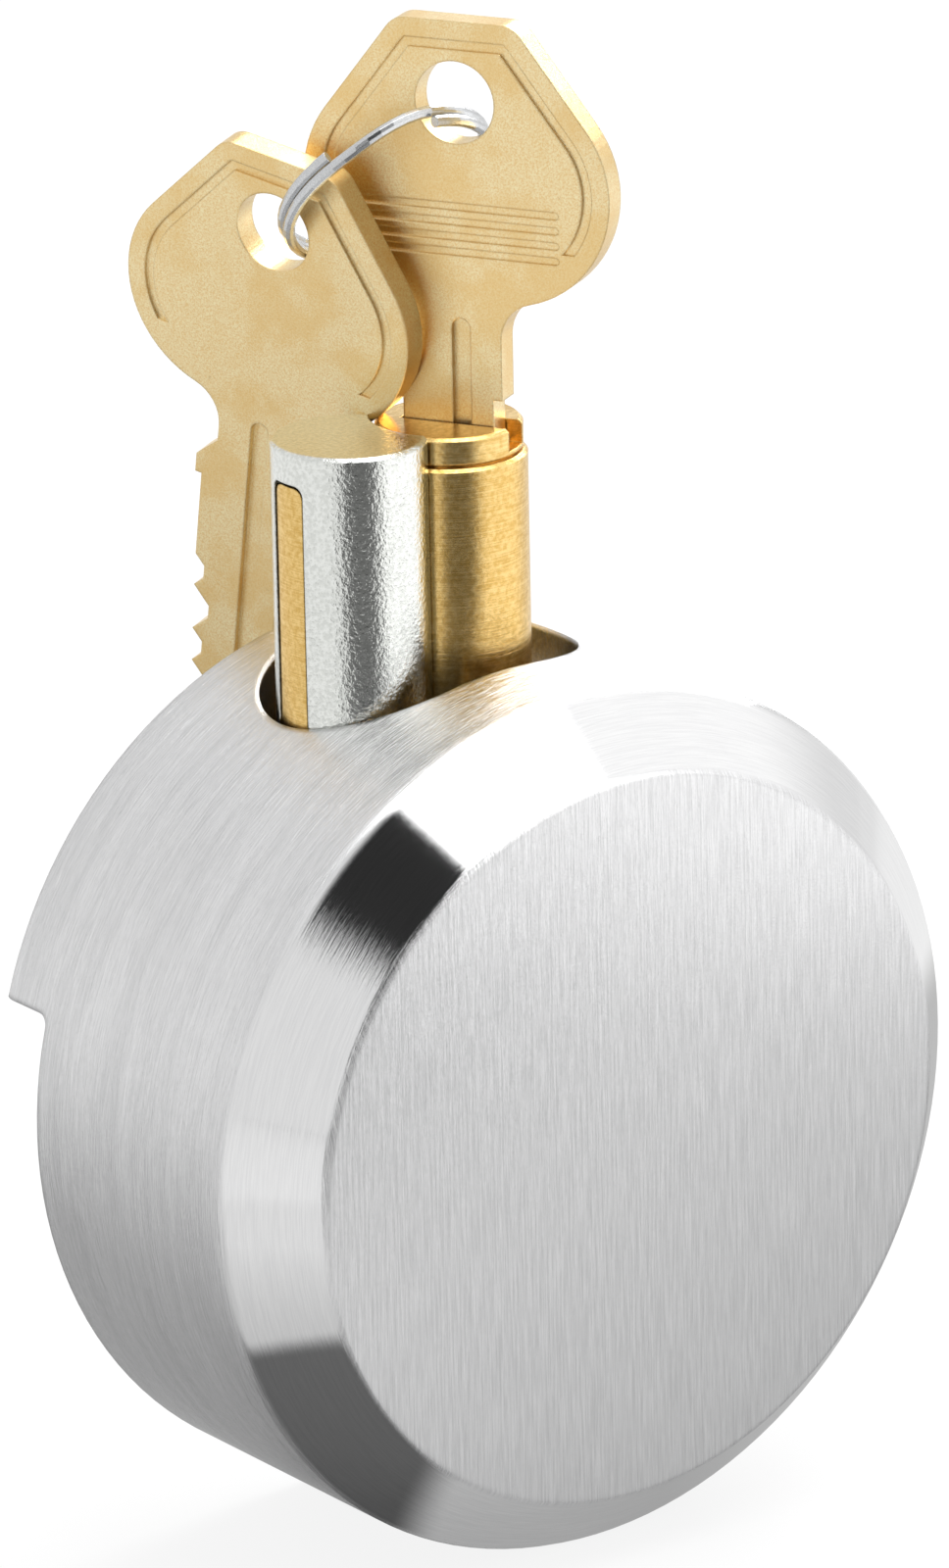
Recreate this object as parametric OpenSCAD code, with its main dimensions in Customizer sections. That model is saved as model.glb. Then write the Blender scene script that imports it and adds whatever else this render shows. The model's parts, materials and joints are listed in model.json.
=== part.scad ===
// Disc padlock with a hidden shackle, shown open: the locking assembly is
// raised out of the round body, the key is in the plug and a spare key hangs
// on the split ring.
// The origin is on the axis of the disc, at its flat front face. The front
// faces -Y, the channel opens upwards along +Z. Millimetres.

/* [Body] */
// Diameter of the disc
body_d = 73; // [70:0.5:80]
// Thickness of the disc, front to back
body_t = 38; // [37:0.5:42]
// Diameter of the flat front face inside the bevel
face_d = 61; // [50:0.5:64]
// Depth of the front bevel along the side
bevel_depth = 6.3; // [2:0.1:9]
// Small rounding on the edges of the disc
edge_round = 0.6; // [0.3:0.1:1]
// Depth of the relieved lower back, which takes the hasp plate
relief_depth = 6.2; // [4:0.1:7]
// Height of the relief's shoulder above the disc's axis
relief_z = 9.9; // [7:0.1:12]

/* [Channel] */
// Width of the channel from side to side
channel_len = 27.6; // [27:0.1:29]
// Width of the channel from front to back
channel_w = 19.4; // [19:0.1:20]
// Place of the channel's middle from side to side
channel_x = -2.6; // [-4:0.1:-1.6]
// Place of the channel's middle behind the front face
channel_y = 24.5; // [23:0.1:25]
// Height of the channel's floor
channel_floor = 0.3; // [0:0.1:1]

/* [Hasp pocket] */
// Width of the pocket for the staple
pocket_w = 23.4; // [21:0.2:25]
// Height of the pocket for the staple
pocket_h = 13; // [9:0.5:14]
// Thickness of the web between the channel and the pocket
web_t = 3.3; // [2.5:0.1:4]
// Wall of the staple's eye that the pocket takes in front of the shackle
eye_wall = 5.5; // [3:0.5:7]

/* [Shackle plunger] */
// Diameter of the steel shackle
shackle_d = 12.7; // [11.5:0.1:13]
// Distance from the shackle's axis to the lock cylinder's axis
cylinder_pitch = 10; // [9.8:0.1:10.4]
// Place of the lock cylinder's axis from side to side
cylinder_x = 0.3; // [0:0.1:0.6]
// Place of the two axes behind the front face
pair_y = 23.7; // [23.5:0.1:23.8]
// Height of the shackle's top when raised
shackle_top = 55.7; // [54:0.1:58]
// Height of the guide foot's underside when raised
foot_z = 20.5; // [20.5:0.1:22]
// Thickness of the guide foot
foot_t = 5.5; // [5.2:0.1:6]
// Clearance of the guide foot in the channel
foot_clearance = 0.2; // [0.1:0.05:0.4]
// Length of the shackle's tip below the foot
tip_len = 22; // [20:0.1:23]
// Travel of the plunger from open to locked
travel = 20; // [18:0.5:20]
// Thickness of the cylinder's flange on the foot
plate_t = 1.5; // [1.2:0.1:2]

/* [Guide strip] */
// Width of the strip's slot in the shackle
slot_w = 3.9; // [3:0.1:5]
// Depth of the strip's slot
slot_depth = 2.8; // [2:0.1:3.5]
// Solid metal above the slot
slot_top_gap = 2.7; // [2:0.1:6]

/* [Lock cylinder] */
// Outer diameter of the cylinder shell
shell_d = 12.7; // [12.2:0.1:13]
// Diameter of the plug
plug_d = 10.6; // [10.2:0.1:10.8]
// Running clearance of the plug in the shell, on the radius
plug_clearance = 0.05; // [0.03:0.01:0.08]
// Length of the cylinder shell
shell_len = 25.3; // [24.5:0.1:26]
// Diameter of the plug's head
head_d = 12; // [11.4:0.1:12.4]
// Height of the plug's head
head_h = 2.2; // [1.5:0.1:3]
// Width of the pin housing behind the shell
bible_w = 5; // [4.4:0.1:5]
// Number of pin stacks
pin_count = 5; // [4:1:5]
// Spacing of the pin stacks
pin_pitch = 3.6; // [3.2:0.1:3.7]
// Diameter of the pins
pin_d = 2.4; // [2.2:0.1:2.6]
// Turn of the plug from open to locked, in degrees
plug_turn = 30; // [20:1:30]

/* [Locking bolt] */
// Width of the bolt's nose
bolt_w = 5; // [4:0.1:6]
// Thickness of the bolt
bolt_t = 2.8; // [2.2:0.1:2.8]
// Radius of the cam pin's circle
cam_r = 2.9; // [2.5:0.1:3.2]
// Diameter of the cam pin
cam_pin_d = 2; // [1.6:0.1:2.2]

/* [Spring] */
// Place of the ejector spring from side to side
spring_x = 7; // [6.8:0.1:7.2]
// Outer diameter of the ejector spring
spring_d = 5.2; // [4.6:0.1:5.4]
// Wire of the ejector spring
spring_wire = 0.7; // [0.5:0.05:0.8]
// Turns of the ejector spring
spring_turns = 14; // [10:1:16]

/* [Keys] */
// Width of the bow
bow_w = 26.2; // [24:0.2:28]
// Width of the bow's flat top
bow_top_w = 11; // [8:0.5:14]
// Height of the bow above its shoulder
bow_h = 20.4; // [18:0.2:24]
// Width of the key's blade
blade_w = 7.9; // [7.4:0.1:8]
// Thickness of the key
key_t = 2.3; // [2:0.1:2.4]
// Diameter of the bow's hole
bow_hole_d = 6.8; // [6:0.1:8]
// Height of the inserted key's top
key_top = 88.7; // [86:0.1:90]

/* [Split ring] */
// Mean radius of the split ring
ring_r = 8.9; // [8.7:0.1:9.1]
// Thickness of the ring's wire
ring_wire = 1; // [0.8:0.1:1.1]

/* [Hidden] */
$fn = 96;
eps = 0.01;
seat_gap = 0.3;             // air under parts that may not touch
body_r = body_d / 2;
face_r = face_d / 2;
shackle_r = shackle_d / 2;
shackle_x = cylinder_x - cylinder_pitch;
channel_r = channel_w / 2;
channel_side = (channel_len - channel_w) / 2;
channel_right = channel_x + channel_len / 2;
foot_r = channel_r - foot_clearance;
foot_top = foot_z + foot_t;
plate_top = foot_top + plate_t;
shell_z = plate_top;
shell_top = shell_z + shell_len;
plug_r = plug_d / 2;
bore_r = plug_r + plug_clearance;
shell_r = shell_d / 2;
back_channel = channel_y + channel_r;
relief_y = body_t - relief_depth;
back_wall = 1.3;            // wall between the channel and the relieved back
step_z = relief_z + 1.8;    // the channel is full size above this height
low_back = relief_y - back_wall;
foot_back = low_back - foot_clearance;
pocket_top = channel_floor - web_t;
pocket_floor = pocket_top - pocket_h;
pocket_front = pair_y - shackle_r - eye_wall;
tip_z = foot_z - tip_len;
tip_locked_z = tip_z - travel;
seat_clearance = 0.15;      // clearance of the shackle's tip in its bores
seat_depth = pocket_floor - tip_locked_z + 0.6;
liner_t = 0.7;
drain_d = 3;
stop_d = 3;
stop_x = channel_right - 2.2;
stop_z = plate_top + 0.2 + stop_d / 2;
stop_start = channel_y - channel_r + 0.4;

// Lock cylinder
bible_y = back_channel - 0.4;    // back of the cover strip
bible_z = step_z + travel + 0.3;
bible_h = shell_top - 1.5 - bible_z;
cover_t = 0.8;
chamber_d = pin_d + 0.2;
first_pin_z = shell_top - 4.5;
function pin_z(i) = first_pin_z - i * pin_pitch;
driver_len = 1.6;
key_angle = -60;            // direction of the key's back edge when open
bitting_angle = key_angle + 180;
blade_offset = 0.5;         // the blade sits towards its back edge
keyway_clearance = 0.2;
blade_floor = shell_z + 3;  // lowest point of the blade
cuts = [0.9, 1.6, 1.2, 1.9, 1.4];    // depth of the bitting at each pin

// Bolt
bolt_gap = 0.1;
bolt_z = foot_top - bolt_t - bolt_gap;
cavity_z = bolt_z - bolt_gap;
bolt_throw = 2 * cam_r * sin(plug_turn / 2);
cam_angle = 90 + plug_turn / 2;
cam_x = cylinder_x + cam_r * cos(cam_angle);
cam_y = pair_y + cam_r * sin(cam_angle);
cam_d = plug_d - 0.4;
bolt_left = cylinder_x - 3;
bolt_plate_right = cylinder_x + 5;
bolt_front = pair_y - 4.4;
bolt_back = pair_y + 4.6;
bolt_tip = channel_right - 0.35;

// Ejector spring
well_d = spring_d + 0.8;
well_floor = channel_floor - 15.3;
spring_seat = foot_z + 1.5;
guide_d = 3;
guide_top = 0;

// Key
bow_x = 1.05;               // the bow sits off the blade's middle
bow_r = 3.2;                // rounding of the bow's top corners
neck_h = 9.6;
shoulder_z = key_top - bow_h - neck_h - 1.2;
blade_len = shoulder_z - blade_floor;
hole_drop = 6.65;
blade_groove_x = 1.2;

// Split ring: its middle, and the way its axis points
ring_c = [cylinder_x - 2.74, pair_y + 4.03, key_top - 14.19];
ring_tilt = [130.9, 0, -2.8];
ring_gap = 0.03;            // air between its two laps
ring_jog = 60;              // the wire changes lap over this angle
ring_start = 146;           // place of the wire's end on the ring
// The spare key hangs on the ring, with its blade behind the disc
spare_hole = ring_c + [-6.5, 5.85, -4.64];
spare_turn = [8.6, 10.7, -66.5];

// Points of a circular arc
function arc(c, r, a0, a1, n) =
    [for (i = [0 : n]) let (a = a0 + (a1 - a0) * i / n) c + r * [cos(a), sin(a)]];

// A coil of round wire along +Z, with its ends cut square to the wire
module coil(r, wire, turns, height, steps = 20, sides = 8) {
    n = floor(turns * steps);
    rise = (height - wire) / n;
    points = [for (i = [0 : n], k = [0 : sides - 1])
        let (a = 360 * i / steps, b = 360 * k / sides, d = r + wire / 2 * cos(b))
        [d * cos(a), d * sin(a), wire / 2 + i * rise + wire / 2 * sin(b)]];
    sides_of = [for (i = [0 : n - 1], k = [0 : sides - 1])
        let (p = i * sides + k, q = i * sides + (k + 1) % sides)
        [q, p, p + sides, q + sides]];
    first = [for (k = [0 : sides - 1]) k];
    last = [for (k = [sides - 1 : -1 : 0]) n * sides + k];
    polyhedron(points, concat(sides_of, [first], [last]), convexity = 10);
}

// The channel's outline, grown by a margin
module obround(side, r, h) {
    translate([channel_x, channel_y, 0]) {
        for (s = [-1, 1]) translate([s * side, 0, 0]) cylinder(r = r, h = h);
        translate([-side, -r, 0]) cube([2 * side, 2 * r, h]);
    }
}

// The same outline with its back cut off flat, for the part below the step
module low_obround(side, r, h, back) {
    intersection() {
        obround(side, r, h);
        translate([channel_x - 50, back - 100, -1]) cube([100, 100, h + 2]);
    }
}

// Cylinder along +Y
module y_cylinder(d, h) rotate([-90, 0, 0]) cylinder(d = d, h = h);

// Half section of the disc: radius along X, depth along Y
module disc_section() {
    e = edge_round;
    union() {
        polygon([[0, 0], [face_r, 0], [body_r - 0.3, bevel_depth - 0.3],
                 [body_r, bevel_depth + 0.4], [body_r, body_t - e],
                 [body_r - e, body_t], [0, body_t]]);
    }
}

// Section of the relieved lower back, in Y and Z
module relief_section() {
    fillet = 1;
    corner = 1.2;
    low = -body_r - 1;
    polygon(concat([[relief_y, low]],
                   arc([relief_y + fillet, relief_z - fillet], fillet, 180, 90, 6),
                   arc([body_t - corner, relief_z + corner], corner, -90, 0, 6),
                   [[body_t + 1, relief_z + corner], [body_t + 1, low]]));
}

module rounded_box(w, h, d, r) {
    for (x = [r, w - r], z = [r, h - r]) translate([x, 0, z]) y_cylinder(2 * r, d);
    translate([r, 0, 0]) cube([w - 2 * r, d, h]);
    translate([0, 0, r]) cube([w, d, h - 2 * r]);
}

// Recess in the channel's wall that the bolt's nose enters
module bolt_recess(z) {
    side = bolt_w + 0.6;
    translate([channel_right - 2, channel_y - side / 2, z - 0.3])
        cube([2 + bolt_throw + 0.6, side, bolt_t + 0.6]);
}

module body() {
    color("gainsboro") difference() {
        rotate([-90, 0, 0]) rotate_extrude($fn = 180) disc_section();
        translate([-body_r - 1, 0, 0]) rotate([90, 0, 90])
            linear_extrude(height = body_d + 2) relief_section();
        translate([0, 0, step_z]) obround(channel_side, channel_r, body_r);
        translate([0, 0, channel_floor])
            low_obround(channel_side, channel_r, body_r, low_back);
        translate([shackle_x, pair_y, pocket_top - 1])
            cylinder(r = shackle_r + seat_clearance, h = web_t + 1 + eps);
        translate([shackle_x, pair_y, pocket_floor - seat_depth])
            cylinder(r = shackle_r + seat_clearance + liner_t, h = seat_depth + 1);
        translate([shackle_x, pair_y, -body_r - 1])
            cylinder(d = drain_d, h = body_r + 1 + pocket_floor);
        translate([shackle_x - pocket_w / 2, pocket_front, pocket_floor])
            rounded_box(pocket_w, pocket_h, body_t, 2.5);
        translate([spring_x, channel_y, well_floor])
            cylinder(d = well_d, h = channel_floor - well_floor + 1);
        translate([spring_x, channel_y, well_floor - 3]) cylinder(d = guide_d, h = 4);
        for (z = [bolt_z, bolt_z - travel]) bolt_recess(z);
        translate([stop_x, stop_start, stop_z]) y_cylinder(stop_d, body_t);
    }
}

module seat_liner() {
    color("silver") translate([shackle_x, pair_y, pocket_floor - seat_depth]) difference() {
        cylinder(r = shackle_r + seat_clearance + liner_t, h = seat_depth - 0.2);
        translate([0, 0, -1]) cylinder(r = shackle_r + seat_clearance, h = seat_depth + 2);
    }
}

module stop_pin() {
    color("dimgray") translate([stop_x, stop_start, stop_z]) difference() {
        y_cylinder(stop_d, body_t - stop_start - 0.4);
        translate([0, -1, 0]) y_cylinder(stop_d - 1.2, body_t);
        translate([-0.2, -1, 0]) cube([0.4, body_t, stop_d]);
    }
}

module spring_guide() {
    color("dimgray") translate([spring_x, channel_y, well_floor - 3]) {
        cylinder(d = guide_d, h = guide_top - well_floor + 3 - 0.5);
        translate([0, 0, guide_top - well_floor + 3 - 0.5])
            cylinder(d1 = guide_d, d2 = guide_d - 1, h = 0.5);
    }
}

module ejector_spring() {
    color("silver") translate([spring_x, channel_y, well_floor])
        coil((spring_d - spring_wire) / 2, spring_wire, spring_turns,
             spring_seat - well_floor, 16, 6);
}

// The guide strip's slot, shrunk all round by a gap
module strip_slot(gap, top_gap) {
    w = slot_w - 2 * gap;
    r = 0.9;
    z0 = foot_top - 2;
    z1 = shackle_top - slot_top_gap - top_gap;
    translate([shackle_x - shackle_r - 1, pair_y - w / 2, z0])
        cube([slot_depth + 1, w, z1 - z0 - r]);
    translate([shackle_x - shackle_r - 1, pair_y - w / 2 + r, z0])
        cube([slot_depth + 1, w - 2 * r, z1 - z0]);
    for (s = [-1, 1]) translate([shackle_x - shackle_r - 1, pair_y + s * (w / 2 - r), z1 - r])
        rotate([0, 90, 0]) cylinder(r = r, h = slot_depth + 1);
}

module screw_places() {
    for (x = [cylinder_x + 1.2, shackle_x + 4.6]) translate([x, channel_y - 7.4, 0]) children();
}

module cavity() {
    w = bolt_w + 0.2;
    y0 = bolt_front - 0.2;
    translate([bolt_left - 0.2, y0, cavity_z])
        cube([bolt_plate_right - bolt_left + bolt_throw + 0.5, bolt_back - y0 + 0.2, foot_t]);
    translate([bolt_left, channel_y - w / 2, cavity_z]) cube([channel_len, w, foot_t]);
}

module shackle_plunger() {
    chamfer = 0.9;
    color("silver") difference() {
        union() {
            translate([0, 0, foot_z]) low_obround(channel_side, foot_r, foot_t, foot_back);
            translate([shackle_x, pair_y, tip_z]) {
                cylinder(r1 = shackle_r - chamfer, r2 = shackle_r, h = chamfer);
                translate([0, 0, chamfer])
                    cylinder(r = shackle_r, h = shackle_top - tip_z - chamfer - 0.3);
                translate([0, 0, shackle_top - tip_z - 0.3])
                    cylinder(r1 = shackle_r, r2 = shackle_r - 0.3, h = 0.3);
            }
        }
        translate([cylinder_x, pair_y, foot_top]) cylinder(r = shell_r + 0.2, h = shackle_top);
        strip_slot(0, 0);
        cavity();
        translate([spring_x, channel_y, foot_z - 1]) cylinder(d = well_d, h = spring_seat - foot_z + 1);
        screw_places() translate([0, 0, foot_z - 1]) {
            cylinder(d = 2.1, h = foot_t + 2);
            cylinder(d = 3.2, h = 2.5);
        }
    }
}

module guide_strip() {
    color("goldenrod") intersection() {
        strip_slot(0.25, 0.3);
        difference() {
            translate([shackle_x, pair_y, 0]) cylinder(r = shackle_r - 0.15, h = shackle_top);
            translate([shackle_x - shackle_r + slot_depth, 0, 0]) cube([50, 50, 100]);
        }
    }
}

module flange_screws() {
    color("dimgray") screw_places() translate([0, 0, foot_z]) difference() {
        union() {
            translate([0, 0, 0.3]) cylinder(d = 3, h = 1.2);
            translate([0, 0, 1]) cylinder(d = 2, h = foot_t + plate_t - 1.1);
        }
        translate([-2, -0.25, 0]) cube([4, 0.5, 0.8]);
    }
}

module cylinder_shell() {
    color("goldenrod") difference() {
        union() {
            translate([0, 0, foot_top]) low_obround(channel_side, foot_r, plate_t, foot_back);
            translate([cylinder_x, pair_y, shell_z - eps]) {
                cylinder(r = shell_r, h = shell_len + eps - 0.3);
                translate([0, 0, shell_len + eps - 0.3])
                    cylinder(r1 = shell_r, r2 = shell_r - 0.3, h = 0.3);
            }
            translate([cylinder_x - bible_w / 2, pair_y, bible_z])
                cube([bible_w, bible_y - cover_t - pair_y, bible_h]);
        }
        translate([shackle_x, pair_y, foot_top - 1]) cylinder(r = shackle_r + 0.05, h = plate_t + 2);
        screw_places() translate([0, 0, foot_top - 1]) cylinder(d = 2, h = plate_t + 2);
        translate([cylinder_x, pair_y, foot_top - 1]) cylinder(r = bore_r, h = shell_len + 4);
        for (i = [0 : pin_count - 1])
            translate([cylinder_x, pair_y, pin_z(i)]) y_cylinder(chamber_d, 20);
    }
}

module chamber_cover() {
    color("goldenrod") translate([cylinder_x - bible_w / 2, bible_y - cover_t, bible_z])
        cube([bible_w, cover_t, bible_h]);
}

module driver_pins() {
    color("goldenrod") for (i = [0 : pin_count - 1])
        translate([cylinder_x, pair_y + bore_r + 0.1, pin_z(i)]) y_cylinder(pin_d, driver_len);
}

module pin_springs() {
    start = pair_y + bore_r + 0.1 + driver_len;
    color("silver") for (i = [0 : pin_count - 1])
        translate([cylinder_x, start, pin_z(i)]) rotate([-90, 0, 0])
            coil(0.85, 0.28, 3, bible_y - cover_t - start, 10, 5);
}

// Places its children in the open key's frame: X along the blade's width
module on_key() translate([cylinder_x, pair_y, 0]) rotate([0, 0, key_angle]) children();

module plug() {
    slot = key_t + 2 * keyway_clearance;
    left = blade_offset - blade_w / 2 - keyway_clearance;
    right = blade_offset + blade_w / 2 + keyway_clearance;
    head_z = shell_top + 0.3;
    color("darkgoldenrod") difference() {
        union() {
            translate([cylinder_x, pair_y, shell_z]) cylinder(r = plug_r, h = shell_len + 1);
            translate([cylinder_x, pair_y, head_z]) {
                cylinder(d = head_d, h = head_h - 0.3);
                translate([0, 0, head_h - 0.3]) cylinder(d1 = head_d, d2 = head_d - 0.6, h = 0.3);
            }
        }
        on_key() {
            translate([left, -slot / 2, blade_floor - 0.3]) cube([right - left, slot, 50]);
            translate([left, -slot / 2, head_z + 0.3]) cube([head_d, slot, 50]);
            for (i = [0 : pin_count - 1])
                translate([0, 0, pin_z(i)]) rotate([0, -90, 0]) cylinder(d = chamber_d, h = plug_d);
        }
        translate([cylinder_x, pair_y, shell_z - 1]) cylinder(d = 1.8, h = 3.2);
    }
}

module key_pins() {
    color("khaki") on_key() for (i = [0 : pin_count - 1]) {
        tip = blade_w / 2 - blade_offset - cuts[i] + 0.1;
        translate([-tip, 0, pin_z(i)]) rotate([0, -90, 0]) {
            cylinder(d1 = pin_d - 1.2, d2 = pin_d, h = 0.5);
            translate([0, 0, 0.5]) cylinder(d = pin_d, h = plug_r - 0.1 - tip - 0.5);
        }
    }
}

module cam() {
    color("silver") {
        difference() {
            union() {
                translate([cylinder_x, pair_y, foot_top + 0.1]) cylinder(d = cam_d, h = plate_t - 0.1);
                translate([cam_x, cam_y, bolt_z + 0.3])
                    cylinder(d = cam_pin_d, h = foot_top + 0.2 - bolt_z - 0.3);
            }
            translate([cylinder_x, pair_y, foot_top - 1]) cylinder(d = 1.8, h = 4);
        }
    }
}

module cam_screw() {
    color("dimgray") translate([cylinder_x, pair_y, foot_top - 0.8]) difference() {
        union() {
            cylinder(d = 3.2, h = 0.9);
            cylinder(d = 1.8, h = plate_t + 0.8 + 1.8);
        }
        translate([-2, -0.2, -1]) cube([4, 0.4, 1.4]);
    }
}

module locking_bolt() {
    gap = 0.05;
    color("silver") difference() {
        union() {
            translate([bolt_left, bolt_front, bolt_z])
                cube([bolt_plate_right - bolt_left, bolt_back - bolt_front, bolt_t]);
            translate([bolt_left, channel_y - bolt_w / 2, bolt_z])
                cube([bolt_tip - bolt_left - 0.6, bolt_w, bolt_t]);
            translate([bolt_tip - 0.6, channel_y - bolt_w / 2 + 0.4, bolt_z])
                cube([0.6, bolt_w - 0.8, bolt_t]);
        }
        translate([cam_x, cam_y, bolt_z - 1]) {
            for (s = [0, 0.2]) translate([0, s, 0]) cylinder(d = cam_pin_d + 2 * gap, h = bolt_t + 2);
            translate([-cam_pin_d / 2 - gap, 0, 0]) cube([cam_pin_d + 2 * gap, 0.2, bolt_t + 2]);
        }
        translate([cylinder_x - 2 - bolt_throw, pair_y - 2, bolt_z + bolt_t - 1])
            cube([4 + bolt_throw, 3.9, 2]);
    }
}

// Outline of the bow, drawn in from its edge by a margin; X across, Y up
function bow_outline(m) =
    let (w = bow_w / 2 - m, t = bow_top_w / 2 - m * 0.6, top = bow_h - m, n = 8)
    concat(arc([w - 6, 8.5], 6, -62, 28, n),
           arc([t - bow_r + 1.6, top - bow_r], bow_r, 34, 90, n),
           arc([-t + bow_r - 1.6, top - bow_r], bow_r, 90, 146, n),
           arc([-w + 6, 8.5], 6, 152, 242, n));

// One key: blade axis along Z, width along X, thickness along Y, top at z = 0
module key_solid() {
    bow_base = -bow_h;
    neck_w = blade_w + 1.3;
    groove = 0.25;
    face = key_t / 2;
    difference() {
        union() {
            translate([0, face, 0]) rotate([90, 0, 0]) linear_extrude(height = key_t) {
                difference() {
                    translate([bow_x, bow_base]) polygon(bow_outline(0));
                    translate([bow_x, -hole_drop]) circle(d = bow_hole_d);
                }
                translate([-neck_w / 2, bow_base - neck_h - 1.2]) square([neck_w, neck_h + 5]);
                difference() {
                    translate([-neck_w / 2 - 3.4, bow_base - 1.4]) square([neck_w + 6.8, 5]);
                    for (s = [-1, 1]) translate([s * (neck_w / 2 + 3.4), bow_base - 1.4]) circle(r = 3.4);
                }
            }
            translate([-blade_w / 2, -face, bow_base - neck_h - 1.2 - blade_len])
                difference() {
                    cube([blade_w, key_t, blade_len + 1]);
                    rotate([0, 45, 0]) translate([-6, -1, -2.2]) cube([12, key_t + 2, 4]);
                }
        }
        for (s = [-1, 1]) scale([1, s, 1]) {
            translate([0, groove - face, 0]) rotate([90, 0, 0]) linear_extrude(height = 1) {
                difference() {
                    translate([bow_x, bow_base]) difference() {
                        polygon(bow_outline(1.9));
                        polygon(bow_outline(2.9));
                    }
                    translate([-20, bow_base - 5]) square([40, 7.4]);
                    translate([bow_x - 8, bow_base - 5]) square([16, 12]);
                }
            }
            for (i = [0 : 3])
                translate([bow_x - 9, groove - face, bow_base + 1.6 + i * 1.25]) rotate([90, 0, 0])
                    linear_extrude(height = 1) {
                        square([18, 0.6]);
                        for (x = [0, 18]) translate([x, 0.3]) circle(d = 0.6);
                    }
            translate([blade_groove_x, 0.5 - face, bow_base - 5]) rotate([90, 0, 0])
                linear_extrude(height = 1) {
                circle(d = 1.6);
                translate([-0.8, -neck_h - blade_len - 3]) square([1.6, neck_h + blade_len + 3]);
            }
        }
        for (i = [0 : pin_count - 1]) {
            z = pin_z(i) - key_top;
            translate([-blade_w / 2, 0, z]) rotate([90, 0, 0])
                linear_extrude(height = key_t + 2, center = true)
                    polygon([[-eps, cuts[i] + 0.6], [cuts[i], 0.6], [cuts[i], -0.6], [-eps, -cuts[i] - 0.6]]);
        }
        translate([-blade_w / 2, 0, bow_base - neck_h - 1.2]) rotate([90, 0, 0])
            linear_extrude(height = key_t + 2, center = true)
                polygon([[-1, -0.2], [0, -0.2], [3.2, -2.6], [-1, -2.6]]);
    }
}

module key() {
    color("burlywood") on_key() translate([blade_offset, 0, key_top]) key_solid();
}

// Two flat laps of wire, joined where the wire steps across
module split_ring() {
    sides = 10;
    step = 7.5;
    lap = (ring_wire + ring_gap) / 2;
    n = (720 - ring_jog) / step;
    function rise(a) = let (t = min(1, max(0, (a - 360) / ring_jog + 1))) lap * (2 * t * t * (3 - 2 * t) - 1);
    points = [for (i = [0 : n], k = [0 : sides - 1])
        let (a = i * step, b = 360 * k / sides, d = ring_r + ring_wire / 2 * cos(b))
        [d * cos(a), d * sin(a), rise(a) + ring_wire / 2 * sin(b)]];
    skin = [for (i = [0 : n - 1], k = [0 : sides - 1])
        let (p = i * sides + k, q = i * sides + (k + 1) % sides)
        [q, p, p + sides, q + sides]];
    ends = [[for (k = [0 : sides - 1]) k], [for (k = [sides - 1 : -1 : 0]) n * sides + k]];
    color("silver") translate(ring_c) rotate(ring_tilt) rotate([0, 0, ring_start])
        polyhedron(points, concat(skin, ends), convexity = 10);
}

module spare_key() {
    color("burlywood") translate(spare_hole) rotate(spare_turn)
        translate([-bow_x, 0, hole_drop]) key_solid();
}

body();
seat_liner();
stop_pin();
spring_guide();
ejector_spring();
shackle_plunger();
guide_strip();
flange_screws();
cylinder_shell();
chamber_cover();
driver_pins();
pin_springs();
plug();
key_pins();
cam();
cam_screw();
locking_bolt();
key();
split_ring();
spare_key();
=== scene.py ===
import json
import math

import bmesh
import bpy
from mathutils import Matrix, Vector


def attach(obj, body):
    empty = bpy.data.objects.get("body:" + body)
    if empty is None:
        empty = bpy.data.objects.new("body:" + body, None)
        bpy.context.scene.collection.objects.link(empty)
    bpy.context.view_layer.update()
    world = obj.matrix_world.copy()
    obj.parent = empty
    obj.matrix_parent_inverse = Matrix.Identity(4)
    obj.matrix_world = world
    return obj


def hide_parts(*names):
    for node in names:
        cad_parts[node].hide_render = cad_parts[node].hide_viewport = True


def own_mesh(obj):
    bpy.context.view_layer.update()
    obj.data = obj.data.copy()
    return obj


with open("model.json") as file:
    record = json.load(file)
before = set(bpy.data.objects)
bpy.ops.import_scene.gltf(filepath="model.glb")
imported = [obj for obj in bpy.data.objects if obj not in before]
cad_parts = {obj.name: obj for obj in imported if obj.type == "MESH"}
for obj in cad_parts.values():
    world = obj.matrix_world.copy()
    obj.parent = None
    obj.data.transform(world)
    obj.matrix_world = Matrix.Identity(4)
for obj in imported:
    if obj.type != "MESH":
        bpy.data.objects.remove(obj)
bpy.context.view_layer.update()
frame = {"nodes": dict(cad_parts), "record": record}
nodes = frame["nodes"]

# ---------------------------------------------------------------- sizes
MM = 0.001                      # one millimetre in metres
BODY_R = 0.0365                 # in metres
PLUG_X, PLUG_Y = 0.3, 23.7      # the plug's axis, in millimetres
FACE_EDGE = (0.1, 0.6)          # depth in mm over which the face gives way to the bevel
WALL_EDGE = (5.9, 6.7)          # and the bevel to the side wall


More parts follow.
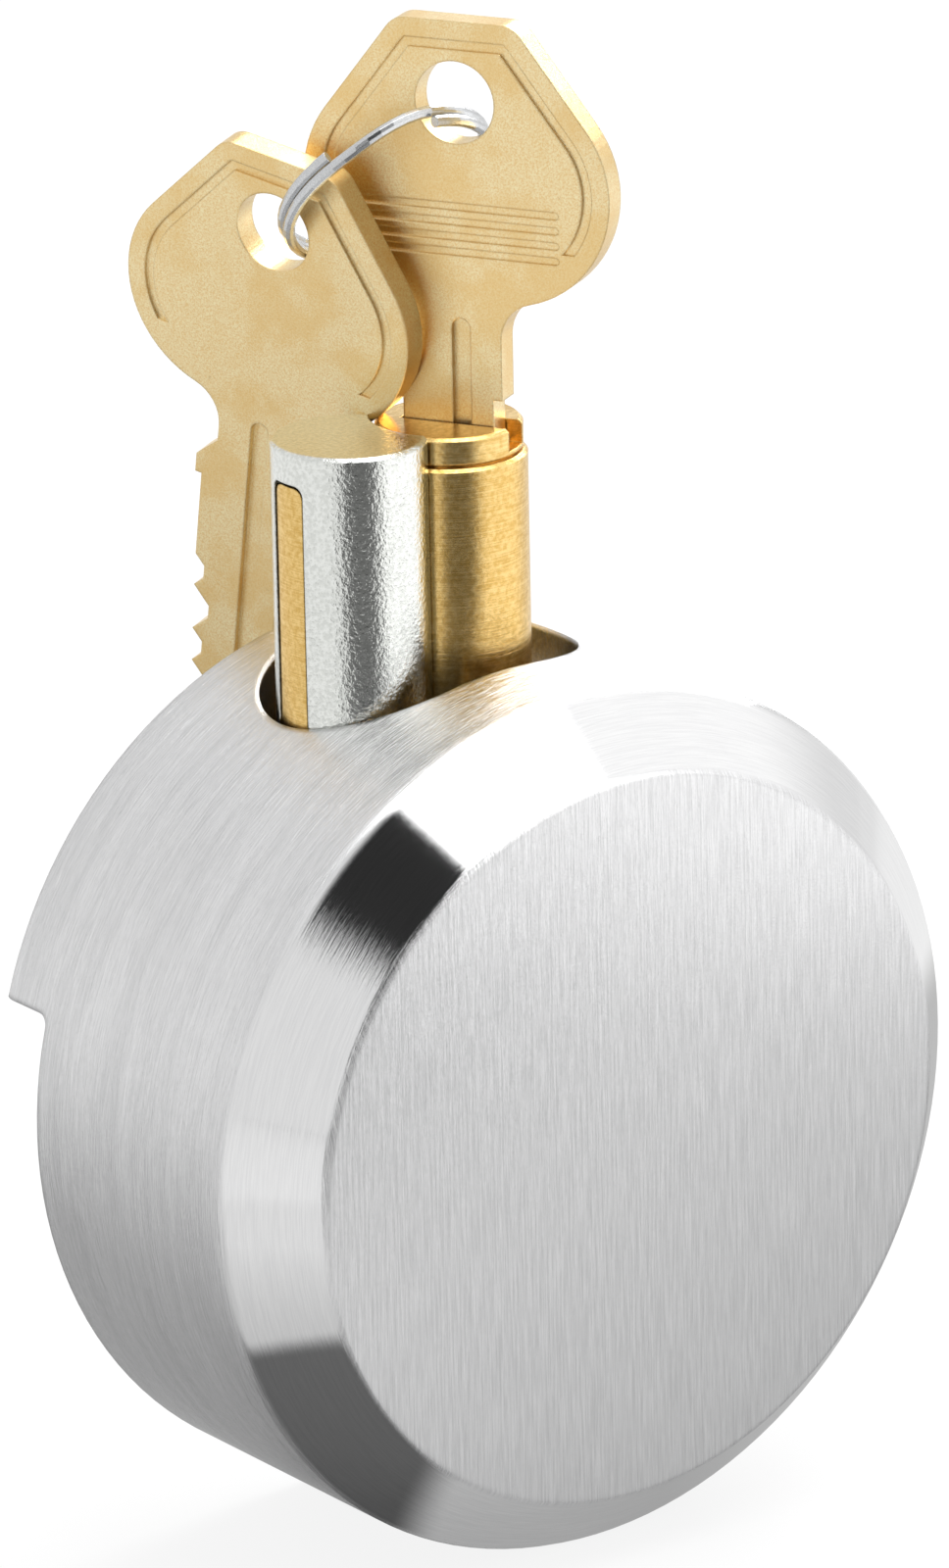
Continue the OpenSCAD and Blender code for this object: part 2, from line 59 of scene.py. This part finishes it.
# ---------------------------------------------------------------- material helpers
class Look:
    """A node material under construction; every method returns an output socket."""

    def __init__(self, name):
        self.mat = bpy.data.materials.new(name)
        self.mat.use_nodes = True
        self.tree = self.mat.node_tree
        self.shader = self.tree.nodes["Principled BSDF"]
        self.out = self.tree.nodes["Material Output"]

    def add(self, kind, **props):
        n = self.tree.nodes.new(kind)
        for k, v in props.items():
            setattr(n, k, v)
        return n

    def put(self, socket, value):
        if isinstance(value, bpy.types.NodeSocket):
            self.tree.links.new(value, socket)
        elif isinstance(value, (tuple, list)) and len(value) == 3 and socket.type == "RGBA":
            socket.default_value = (*value, 1)
        else:
            socket.default_value = value

    def math(self, op, a, b=0.0):
        n = self.add("ShaderNodeMath", operation=op)
        for i, v in enumerate((a, b)):
            self.put(n.inputs[i], v)
        return n.outputs[0]

    def place(self):
        """Object coordinates in millimetres, as three sockets."""
        c = self.add("ShaderNodeTexCoord").outputs["Object"]
        s = self.add("ShaderNodeVectorMath", operation="SCALE")
        self.put(s.inputs[0], c)
        s.inputs["Scale"].default_value = 1 / MM
        x = self.add("ShaderNodeSeparateXYZ")
        self.put(x.inputs[0], s.outputs[0])
        return x.outputs[0], x.outputs[1], x.outputs[2]

    def vector(self, x, y, z=0.0):
        n = self.add("ShaderNodeCombineXYZ")
        for i, v in enumerate((x, y, z)):
            self.put(n.inputs[i], v)
        return n.outputs[0]

    def noise(self, at, scale, detail, rough):
        n = self.add("ShaderNodeTexNoise", noise_type="FBM")
        self.put(n.inputs["Vector"], at)
        n.inputs["Scale"].default_value = scale
        n.inputs["Detail"].default_value = detail
        n.inputs["Roughness"].default_value = rough
        return n.outputs["Fac"]

    def ramp(self, fac, *stops):
        """Two stops, each a position and a grey level."""
        n = self.add("ShaderNodeValToRGB")
        n.color_ramp.interpolation = "EASE"
        for e, (pos, grey) in zip(n.color_ramp.elements, stops):
            e.position = pos
            e.color = (grey, grey, grey, 1)
        self.put(n.inputs[0], fac)
        return n.outputs[0]

    def step(self, value, low, high):
        """0 below low, 1 above high, smooth between."""
        n = self.add("ShaderNodeMapRange", interpolation_type="SMOOTHSTEP")
        self.put(n.inputs["Value"], value)
        n.inputs["From Min"].default_value = low
        n.inputs["From Max"].default_value = high
        return n.outputs[0]

    def mix(self, fac, a, b):
        """From colour a to colour b."""
        n = self.add("ShaderNodeMix", data_type="RGBA", blend_type="MIX")
        self.put(n.inputs["Factor"], fac)
        self.put(n.inputs[6], a)
        self.put(n.inputs[7], b)
        return n.outputs[2]

    def lerp(self, fac, a, b):
        """From number a to number b."""
        n = self.add("ShaderNodeMix", data_type="FLOAT")
        self.put(n.inputs["Factor"], fac)
        self.put(n.inputs[2], a)
        self.put(n.inputs[3], b)
        return n.outputs[0]

    def bump(self, height, strength, distance, round_mm):
        """Relief of the given distance in metres, over edges rounded by round_mm."""
        n = self.add("ShaderNodeBump")
        self.put(n.inputs["Strength"], strength)
        n.inputs["Distance"].default_value = distance
        self.put(n.inputs["Height"], height)
        b = self.add("ShaderNodeBevel", samples=4)
        b.inputs["Radius"].default_value = round_mm * MM
        self.put(n.inputs["Normal"], b.outputs[0])
        return n.outputs[0]

    def finish(self, **sockets):
        for k, v in sockets.items():
            self.put(self.shader.inputs[k.replace("_", " ")], v)
        return self.mat


def stretched(look, x, y, z, sx, sy, sz):
    """Coordinates with a frequency of their own along each axis."""
    return look.vector(look.math("MULTIPLY", x, sx), look.math("MULTIPLY", y, sy),
                       look.math("MULTIPLY", z, sz))


def axial(look, cx, cy, around, along):
    """Coordinates for marks on a part turned about the vertical axis at cx, cy (mm)."""
    x, y, z = look.place()
    return look.vector(look.math("MULTIPLY", look.math("SUBTRACT", x, cx), around),
                       look.math("MULTIPLY", look.math("SUBTRACT", y, cy), around),
                       look.math("MULTIPLY", z, along))


# ---------------------------------------------------------------- materials
def body_look():
    """Brushed face, polished bevel and finely turned side wall."""
    k = Look("body_steel")
    x, y, z = k.place()
    off_face = k.step(y, *FACE_EDGE)
    on_wall = k.step(y, *WALL_EDGE)
    on_face = k.math("SUBTRACT", 1.0, off_face)
    on_bevel = k.math("MULTIPLY", off_face, k.math("SUBTRACT", 1.0, on_wall))
    turned = k.noise(stretched(k, x, y, z, 0.22, 10.0, 0.22), 1.0, 4.0, 0.7)
    scratch = k.noise(stretched(k, x, y, z, 0.40, 7.0, 0.40), 1.0, 2.0, 0.5)
    broad = k.noise(stretched(k, x, y, z, 0.05, 0.5, 0.05), 1.0, 2.0, 0.5)
    brushed = k.noise(k.vector(k.math("MULTIPLY", x, 5.0), 2.0, k.math("MULTIPLY", z, 0.16)),
                      1.0, 4.0, 0.75)
    grain = k.noise(k.vector(x, y, z), 5.0, 2.0, 0.6)
    wall = k.mix(k.ramp(broad, (0.3, 0.0), (0.7, 1.0)), (0.77, 0.77, 0.775), (0.84, 0.84, 0.845))
    wall = k.mix(k.ramp(turned, (0.30, 0.28), (0.60, 0.0)), wall, (0.42, 0.42, 0.43))
    wall = k.mix(k.ramp(scratch, (0.62, 0.0), (0.72, 0.6)), wall, (0.92, 0.92, 0.92))
    face = k.mix(k.ramp(brushed, (0.3, 0.0), (0.7, 1.0)), (0.69, 0.69, 0.695), (0.88, 0.88, 0.885))
    bevel = k.mix(k.ramp(turned, (0.3, 0.0), (0.7, 1.0)), (0.78, 0.78, 0.785), (0.86, 0.86, 0.86))
    colour = k.mix(on_face, k.mix(on_bevel, wall, bevel), face)
    height = k.lerp(on_face, k.math("ADD", turned, k.math("MULTIPLY", scratch, 1.2)), brushed)
    height = k.math("ADD", height, k.math("MULTIPLY", grain, 0.15))
    rough = k.lerp(on_bevel, k.lerp(on_face, 0.19, 0.26), 0.055)
    strength = k.lerp(on_bevel, k.lerp(on_face, 0.50, 0.45), 0.03)
    return k.finish(Base_Color=colour, Metallic=1.0, Roughness=rough,
                    Normal=k.bump(height, strength, 0.00012, 0.7))


def plated_look():
    """Zinc plate over rolled bar: bright, with a fine pebbled grain."""
    k = Look("plated_steel")
    x, y, z = k.place()
    pebble = k.noise(k.vector(x, y, z), 2.8, 2.0, 0.55)
    fine = k.noise(k.vector(x, y, z), 6.0, 2.0, 0.6)
    colour = k.mix(k.ramp(pebble, (0.35, 0.0), (0.65, 1.0)), (0.72, 0.735, 0.70), (0.86, 0.875, 0.84))
    height = k.math("ADD", k.math("MULTIPLY", pebble, 1.0), k.math("MULTIPLY", fine, 0.35))
    return k.finish(Base_Color=colour, Metallic=1.0, Roughness=0.06,
                    Normal=k.bump(height, 0.40, 0.00016, 0.25))


def brass_look(name, base, dark, rough=0.24):
    """Turned brass with fine rings round the cylinder's axis."""
    k = Look(name)
    x, y, z = k.place()
    rings = k.noise(axial(k, PLUG_X, PLUG_Y, 0.25, 11.0), 1.0, 4.0, 0.65)
    grit = k.noise(k.vector(x, y, z), 2.2, 3.0, 0.65)
    tone = k.math("ADD", k.math("MULTIPLY", rings, 0.5), k.math("MULTIPLY", grit, 0.5))
    colour = k.mix(k.ramp(tone, (0.38, 0.0), (0.62, 1.0)), dark, base)
    height = k.math("ADD", k.math("MULTIPLY", rings, 0.6), k.math("MULTIPLY", grit, 0.4))
    return k.finish(Base_Color=colour, Metallic=1.0, Roughness=rough,
                    Normal=k.bump(height, 0.30, 0.00010, 0.2))


def key_look():
    """Stamped brass sheet: pale gold, finely speckled, with a few tarnished spots."""
    k = Look("key_brass")
    x, y, z = k.place()
    speck = k.noise(k.vector(x, y, z), 6.5, 3.0, 0.75)
    cloud = k.noise(k.vector(x, y, z), 0.14, 3.0, 0.6)
    spots = k.noise(k.vector(x, y, z), 0.9, 4.0, 0.75)
    colour = k.mix(k.ramp(speck, (0.32, 0.0), (0.68, 1.0)), (0.88, 0.62, 0.28), (1.0, 0.87, 0.54))
    colour = k.mix(k.ramp(cloud, (0.42, 0.0), (0.62, 0.55)), colour, (0.86, 0.58, 0.22))
    colour = k.mix(k.ramp(spots, (0.66, 0.0), (0.80, 0.6)), colour, (0.46, 0.27, 0.09))
    return k.finish(Base_Color=colour, Metallic=1.0, Roughness=0.28,
                    Normal=k.bump(speck, 0.35, 0.00008, 0.25))


def steel_look(name, colour, rough, scale=4.0, grit=0.2):
    """Plain steel with a slight grain."""
    k = Look(name)
    x, y, z = k.place()
    grain = k.noise(k.vector(x, y, z), scale, 3.0, 0.6)
    low = tuple(c * 0.82 for c in colour)
    return k.finish(Base_Color=k.mix(k.ramp(grain, (0.3, 0.0), (0.7, 1.0)), low, colour),
                    Metallic=1.0, Roughness=rough, Normal=k.bump(grain, grit, 0.00006, 0.1))


LOOKS = {
    "body_steel": body_look(),
    "plated_steel": plated_look(),
    "hardened_steel": steel_look("hardened_steel", (0.42, 0.42, 0.43), 0.35),
    "spring_steel": steel_look("spring_steel", (0.72, 0.73, 0.74), 0.22, 9.0, 0.05),
    "brass": brass_look("brass", (0.93, 0.66, 0.27), (0.70, 0.44, 0.12)),
    "plug_brass": brass_look("plug_brass", (0.96, 0.70, 0.30), (0.72, 0.46, 0.14)),
    "key_brass": key_look(),
}
for part in frame["record"]["subparts"]:
    ob = nodes.get(part["node"])
    if ob is None:
        continue
    if not ob.material_slots:
        ob.data.materials.append(None)
    for s in ob.material_slots:
        s.material = LOOKS[part["material_slot"]]

# ---------------------------------------------------------------- keys
# A key blank in millimetres: X across the blade, Z up from the top of the bow, stripes towards -Y.
KEY_T = 2.3
BLADE_HALF = 3.95
BOW_X = 1.05                   # the bow sits off the blade's middle
BOW_HALF, SIDE_R, SIDE_Z = 13.3, 9.4, 13.8
FLANK = math.radians(37.5)     # slope of the bow's upper flanks
TOP_R = 2.0
NECK_HALF, NECK_R = 3.7, 3.3
GRIP, KEY_END = 31.2, 58.2
HOLE_DROP, HOLE_R = 6.7, 3.4
SIDE_X = BOW_HALF - SIDE_R
FILLET_X = NECK_HALF + NECK_R
FILLET_Z = SIDE_Z + math.sqrt((SIDE_R + NECK_R) ** 2 - (FILLET_X - SIDE_X) ** 2)
FILLET_TURN = math.acos((FILLET_X - SIDE_X) / (SIDE_R + NECK_R))
PIN_PITCH, CUT_HALF = 3.6, 0.6                   # of the bitting, whose slopes are at 45 degrees
PIN_DROPS = [40.4 + PIN_PITCH * i for i in range(5)]
CUTS = [0.9, 1.6, 1.2, 1.9, 1.4]
STOP, STOP_RISE, TIP = 1.9, 1.7, 2.5            # shoulder beside the neck, and the tip's chamfers
CLEAR = 5                                       # the cutters reach this far, past both faces
BORDER, BORDER_LOW, BORDER_DEPTH = (1.6, 2.4), 18.5, 0.25
STRIPES, STRIPE_TOP, STRIPE_PITCH = 4, 19.1, 1.25
STRIPE_HALF, STRIPE_R, STRIPE_DEPTH = 8.5, 0.32, 0.22
SLOT_TOP, SLOT_BOTTOM, SLOT_DEPTH = 25.4, 70, 0.5


def arc(cx, cz, r, a0, a1, n):
    return [(cx + r * math.cos(a0 + (a1 - a0) * i / n), cz + r * math.sin(a0 + (a1 - a0) * i / n))
            for i in range(n + 1)]


def bow_side(margin, low):
    """Right side of the bow, drawn in by a margin, from the angle low up to the top."""
    corner = max(TOP_R, margin + 0.2)
    reach = SIDE_X * math.cos(FLANK) - SIDE_Z * math.sin(FLANK) + SIDE_R
    cx = (reach - corner * (1 - math.sin(FLANK))) / math.cos(FLANK)
    return arc(SIDE_X, -SIDE_Z, SIDE_R - margin, low, FLANK, 22) + arc(
        cx, -corner, corner - margin, FLANK, math.pi / 2, 6)


def mirrored(points):
    return [(-x, z) for x, z in reversed(points)]


def key_outline():
    """Bow, neck, stop and cut blade, counterclockwise."""
    half = arc(FILLET_X, -FILLET_Z, NECK_R, math.pi, math.pi - FILLET_TURN, 8)
    half += bow_side(0, -FILLET_TURN)[1:]
    bow = [(NECK_HALF, -GRIP)] + half + mirrored(half)
    bow += [(-NECK_HALF, STOP - GRIP + STOP_RISE), (-NECK_HALF - STOP, STOP_RISE - GRIP),
            (-NECK_HALF - STOP, -GRIP)]
    points = [(x + BOW_X, z) for x, z in bow] + [(-BLADE_HALF, -GRIP)]
    crest = 0                       # the slopes of two cuts meet at this depth
    for drop, cut, after in zip(PIN_DROPS, CUTS, CUTS[1:] + [None]):
        points += [(crest - BLADE_HALF, cut - crest + CUT_HALF - drop),
                   (cut - BLADE_HALF, CUT_HALF - drop), (cut - BLADE_HALF, -CUT_HALF - drop)]
        crest = 0 if after is None else (cut + after + 2 * CUT_HALF - PIN_PITCH) / 2
    return points + [(-BLADE_HALF, -CUTS[-1] - CUT_HALF - PIN_DROPS[-1]),
                     (-BLADE_HALF, TIP - KEY_END), (TIP - BLADE_HALF, -KEY_END),
                     (BLADE_HALF, -KEY_END), (BLADE_HALF, -GRIP)]


def prism(bm, points, y0, y1):
    """Adds the outline, given in X and Z, as a solid between two depths."""
    front = [bm.verts.new((x, y0, z)) for x, z in points]
    back = [bm.verts.new((x, y1, z)) for x, z in points]
    n = len(points)
    bm.faces.new(front)
    bm.faces.new(back[::-1])
    for i in range(n):
        j = (i + 1) % n
        bm.faces.new((front[j], front[i], back[i], back[j]))


def slot_shape(x, width):
    """A groove running down the blade from a round end."""
    return arc(x, -SLOT_TOP, width / 2, 0, math.pi, 12) + [
        (x - width / 2, -SLOT_BOTTOM), (x + width / 2, -SLOT_BOTTOM)]


def make_key(name, node, body, place, stripes=-1):
    """The stamped key, in place of its CAD solid. The stripes are on its -Y (-1) or +Y (1) face."""
    face = KEY_T / 2
    bm = bmesh.new()
    prism(bm, key_outline(), -face, face)
    blank = bpy.data.meshes.new(name)
    bm.to_mesh(blank)
    bm.clear()
    hole = arc(0, -HOLE_DROP, HOLE_R, 0, 2 * math.pi * 47 / 48, 47)
    prism(bm, [(x + BOW_X, z) for x, z in hole], -CLEAR, CLEAR)
    border = [bow_side(m, -math.asin((BORDER_LOW - SIDE_Z) / (SIDE_R - m))) for m in BORDER]
    ring = border[0] + mirrored(border[0]) + (border[1] + mirrored(border[1]))[::-1]
    for y0, y1 in ((-CLEAR, BORDER_DEPTH - face), (face - BORDER_DEPTH, CLEAR)):
        prism(bm, [(x + BOW_X, z) for x, z in ring], y0, y1)
    for i in range(STRIPES):
        z = -STRIPE_TOP + STRIPE_PITCH * i
        prism(bm, arc(BOW_X + STRIPE_HALF, z, STRIPE_R, -math.pi / 2, math.pi / 2, 6)
              + arc(BOW_X - STRIPE_HALF, z, STRIPE_R, math.pi / 2, math.pi * 1.5, 6),
              *((-CLEAR, STRIPE_DEPTH - face) if stripes < 0 else (face - STRIPE_DEPTH, CLEAR)))
    prism(bm, slot_shape(1.2, 1.6), -CLEAR, SLOT_DEPTH - face)
    prism(bm, slot_shape(2.6, 1.4), face - SLOT_DEPTH, CLEAR)
    cutter_mesh = bpy.data.meshes.new(name + "_cuts")
    bm.to_mesh(cutter_mesh)
    bm.free()
    cutter = bpy.data.objects.new(name + "_cuts", cutter_mesh)
    ob = bpy.data.objects.new(name, blank)
    for o in (ob, cutter):
        bpy.context.scene.collection.objects.link(o)
    cut = ob.modifiers.new("cuts", "BOOLEAN")
    cut.object, cut.solver = cutter, "EXACT"
    done = bpy.data.meshes.new_from_object(ob.evaluated_get(bpy.context.evaluated_depsgraph_get()))
    ob.modifiers.clear()
    ob.data = done
    done.transform(Matrix.Scale(MM, 4) @ place)
    bpy.data.objects.remove(cutter)
    done.materials.clear()
    done.materials.append(LOOKS["key_brass"])
    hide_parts(node)
    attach(ob, body)


def turned_by(x, y, z):
    """Turned about X, then Y, then Z, in degrees."""
    return (Matrix.Rotation(math.radians(z), 4, "Z") @ Matrix.Rotation(math.radians(y), 4, "Y")
            @ Matrix.Rotation(math.radians(x), 4, "X"))


KEY_TOP, KEY_ANGLE, KEY_SHIFT = 88.7, -60, 0.5
SPARE_HOLE = Vector((-8.76, 33.68, 70.77))
make_key("door_key", "key", "plug",
         Matrix.Translation((PLUG_X, PLUG_Y, KEY_TOP)) @ turned_by(0, 0, KEY_ANGLE)
         @ Matrix.Translation((KEY_SHIFT, 0, 0)))
make_key("hanging_key", "spare_key", "spare",
         Matrix.Translation(SPARE_HOLE) @ turned_by(9.2, 11.7, -66.7)
         @ Matrix.Translation((-BOW_X, 0, HOLE_DROP)), stripes=1)

# ---------------------------------------------------------------- ejector spring
# In the lock the coil is pressed down onto its seat as the plunger goes in; here the CAD coil is
# copied unchanged and carried by the housing.
coil = nodes["ejector_spring"].copy()
coil.data = coil.data.copy()
coil.name = "return_spring"
bpy.context.scene.collection.objects.link(coil)
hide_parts("ejector_spring")
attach(coil, "housing")
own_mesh(coil)

# ---------------------------------------------------------------- floor and world
# The studio has one dark side, in front and to the left; the rest is pale. The world is dimmed there,
# and the floor has it as a painted dark sector in the metal's reflections.
DARK_SIDE = math.radians(246)
DARK_HALF = (math.radians(17), math.radians(20))         # in the walls and ceiling
# half widths of the painted dark sector on the floor
DARK_HALF_FLOOR = (math.radians(25), math.radians(32))
DARK_TOP = (0.84, 0.88)
DARK_RING = (95.0, 120.0)     # the floor's painted dark sector, shown only in the metal, starts at this distance, in mm
GREY_RING = (142.0, 182.0)    # the floor's painted grey shade gives way to white here
# painted shade in the metal's reflections: where the grey is centred, how it lightens across the
# floor, and its level
GREY_AT, GREY_SLOPE, GREY_LEVEL = (54.0, -85.0), (-0.0025, -0.0045), 0.71
# painted light: round BRIGHT_SIDE the far floor glows up to FLOOR_BRIGHT in the metal's reflections
BRIGHT_SIDE = math.radians(318)
BRIGHT_HALF = (math.radians(28), math.radians(45))
FLOOR_FAR, FLOOR_BRIGHT = 0.88, 1.32
# level of the painted dark sector in the metal's reflections
FLOOR_DARK = 0.06
SHADE_AT, SHADE_SIZE = (-38.0, 22.0), (22.0, 40.0)      # the painted shadow beside the foot, in mm
SOFTBOX = Vector((0.58, -0.27, 0.77))       # direction of the large soft light
SOFTBOX_EDGE = (0.55, 0.85)
SKY, SKY_BRIGHT, SKY_DARK = 0.84, 1.14, 0.03


def length_of(k, x, y):
    return k.math("SQRT", k.math("ADD", k.math("MULTIPLY", x, x), k.math("MULTIPLY", y, y)))


def sector_of(k, x, y, middle, half):
    """1 where the direction x, y lies round the azimuth middle, 0 elsewhere."""
    flat = length_of(k, x, y)
    along = k.math("ADD", k.math("MULTIPLY", x, math.cos(middle)),
                   k.math("MULTIPLY", y, math.sin(middle)))
    near = k.math("DIVIDE", along, k.math("MAXIMUM", flat, 0.0001))
    return k.step(near, math.cos(half[1]), math.cos(half[0]))


def dark_side(k, x, y, z, half):
    """1 where the direction x, y, z points at the studio's dark side, 0 elsewhere."""
    low = k.math("SUBTRACT", 1.0, k.step(z, *DARK_TOP))
    return k.math("MULTIPLY", sector_of(k, x, y, DARK_SIDE, half), low)


def floor_look():
    """White floor. In the metal it glows with painted light and shade: painted grey shade close to
    the lock and white further off, with a painted dark sector, a painted shadow by the foot and a
    painted bright sector.
    """
    k = Look("floor")
    x, y, z = k.place()
    out = length_of(k, x, y)
    path = k.add("ShaderNodeLightPath")
    mirror = k.math("MAXIMUM", path.outputs["Is Glossy Ray"], path.outputs["Is Transmission Ray"])
    # painted shade, seen only in the metal: grey in front of the lock, lighter further out and to the
    # left, then white
    near = k.math("ADD", k.math("MULTIPLY", k.math("SUBTRACT", x, GREY_AT[0]), GREY_SLOPE[0]),
                  k.math("MULTIPLY", k.math("SUBTRACT", y, GREY_AT[1]), GREY_SLOPE[1]))
    near = k.math("ADD", near, GREY_LEVEL)
    near = k.math("MINIMUM", k.math("MAXIMUM", near, 0.42), 0.85)
    # more painted shade: the floor's reflection a little darker further to the left
    near = k.math("SUBTRACT", near, k.math("MULTIPLY", k.step(x, -20.0, -60.0), 0.05))
    # painted light: the far floor glows brighter than white in the bright sector, in the metal only
    far = k.lerp(sector_of(k, x, y, BRIGHT_SIDE, BRIGHT_HALF), FLOOR_FAR, FLOOR_BRIGHT)
    grey = k.lerp(k.step(out, *GREY_RING), near, far)
    # painted dark reflection: the floor's sector towards the studio's dark side, past DARK_RING,
    # shows dark in the metal
    dark = k.math("MULTIPLY", dark_side(k, x, y, 0.0, DARK_HALF_FLOOR), k.step(out, *DARK_RING))
    shown = k.lerp(dark, grey, FLOOR_DARK)
    # painted shadow beside the lock's foot, on the side away from the lamps, darkest towards the
    # front
    sx = k.math("DIVIDE", k.math("SUBTRACT", x, SHADE_AT[0]), SHADE_SIZE[0])
    sy = k.math("DIVIDE", k.math("SUBTRACT", y, SHADE_AT[1]), SHADE_SIZE[1])
    off = length_of(k, sx, sy)
    shade = k.lerp(k.step(y, 8.0, 20.0), 0.05, 0.34)
    shown = k.lerp(k.step(off, 0.9, 1.12), shade, shown)
    glow = k.add("ShaderNodeEmission")
    k.put(glow.inputs["Strength"], k.lerp(mirror, 1.0, shown))
    lit = k.add("ShaderNodeBsdfDiffuse")
    lit.inputs["Color"].default_value = (0.86, 0.86, 0.86, 1)
    blend = k.add("ShaderNodeMixShader")
    seen = k.math("MAXIMUM", k.math("MULTIPLY", path.outputs["Is Camera Ray"], 0.86),
                  k.math("MULTIPLY", mirror, 0.9))
    k.put(blend.inputs[0], seen)
    k.tree.links.new(lit.outputs[0], blend.inputs[1])
    k.tree.links.new(glow.outputs[0], blend.inputs[2])
    k.tree.links.new(blend.outputs[0], k.out.inputs["Surface"])
    k.tree.nodes.remove(k.shader)
    return k.mat


def make_floor():
    """A wide square just under the lock's foot."""
    size, z = 3.0, -BODY_R - 0.0001
    corners = [(-size, -size, z), (size, -size, z), (size, size, z), (-size, size, z)]
    mesh = bpy.data.meshes.new("floor")
    mesh.from_pydata(corners, [], [(0, 1, 2, 3)])
    ob = bpy.data.objects.new("floor", mesh)
    bpy.context.scene.collection.objects.link(ob)
    mesh.materials.append(floor_look())


make_floor()


class Sky(Look):
    """The world's node tree, built with the same helpers."""

    def __init__(self, name):
        self.world = bpy.data.worlds.new(name)
        self.world.use_nodes = True
        self.tree = self.world.node_tree
        self.sky = self.tree.nodes["Background"]
        self.out = self.tree.nodes["World Output"]


def make_sky():
    k = Sky("studio")
    bpy.context.scene.world = k.world
    way = k.add("ShaderNodeSeparateXYZ")
    k.put(way.inputs[0], k.add("ShaderNodeTexCoord").outputs["Generated"])
    dark = dark_side(k, *way.outputs[:3], DARK_HALF)
    path = k.add("ShaderNodeLightPath")
    k.sky.inputs["Color"].default_value = (1, 1, 1, 1)
    aim = k.add("ShaderNodeVectorMath", operation="DOT_PRODUCT")
    k.put(aim.inputs[0], k.vector(*way.outputs[:3]))
    aim.inputs[1].default_value = SOFTBOX.normalized()
    bright = k.lerp(k.step(aim.outputs["Value"], *SOFTBOX_EDGE), SKY, SKY_BRIGHT)
    k.put(k.sky.inputs["Strength"], k.lerp(dark, bright, SKY_DARK))
    clear = k.add("ShaderNodeBackground")
    clear.inputs["Color"].default_value = (1, 1, 1, 1)
    clear.inputs["Strength"].default_value = 1.0
    pick = k.add("ShaderNodeMixShader")
    k.put(pick.inputs[0], path.outputs["Is Camera Ray"])
    k.tree.links.new(k.sky.outputs[0], pick.inputs[1])
    k.tree.links.new(clear.outputs[0], pick.inputs[2])
    k.tree.links.new(pick.outputs[0], k.out.inputs["Surface"])


make_sky()

CENTRE = Vector((0, 0.019, 0.02))               # what the lamps are aimed at, in metres


def lamp(name, azimuth, elevation, distance, size, power, size_y=None):
    """An area light aimed at the lock. Azimuth 0 is in front, 90 on the right, 180 behind."""
    a, e = math.radians(azimuth), math.radians(elevation)
    d = Vector((math.sin(a) * math.cos(e), -math.cos(a) * math.cos(e), math.sin(e)))
    data = bpy.data.lights.new(name, "AREA")
    data.shape = "RECTANGLE"
    data.size, data.size_y = size, size_y or size
    data.energy = power
    ob = bpy.data.objects.new(name, data)
    bpy.context.scene.collection.objects.link(ob)
    ob.location = CENTRE + d * distance
    ob.rotation_mode = "QUATERNION"
    ob.rotation_quaternion = (-d).to_track_quat("-Z", "Y")


lamp("key_light", 115, 42, 0.6, 0.30, 3.0, 0.5)
lamp("top_light", 20, 75, 0.7, 0.5, 2.0)

# ---------------------------------------------------------------- camera
cam_data = bpy.data.cameras.new("camera")
cam = bpy.data.objects.new("camera", cam_data)
bpy.context.scene.collection.objects.link(cam)
forward = Vector((0.55999, 0.76194, -0.32535)).normalized()
right = Vector((0.80174, -0.59736, -0.01901)).normalized()
up = right.cross(forward)
cam.matrix_world = Matrix.Translation((-0.51333, -0.67767, 0.32092)) @ Matrix(
    (right, up, -forward)).transposed().to_4x4()
cam_data.sensor_width = 36
cam_data.lens = 258.885
cam_data.shift_x = -0.0004
cam_data.shift_y = 0.0166
cam_data.clip_start, cam_data.clip_end = 0.01, 20
bpy.context.scene.camera = cam
bpy.context.scene.view_settings.view_transform = "Standard"
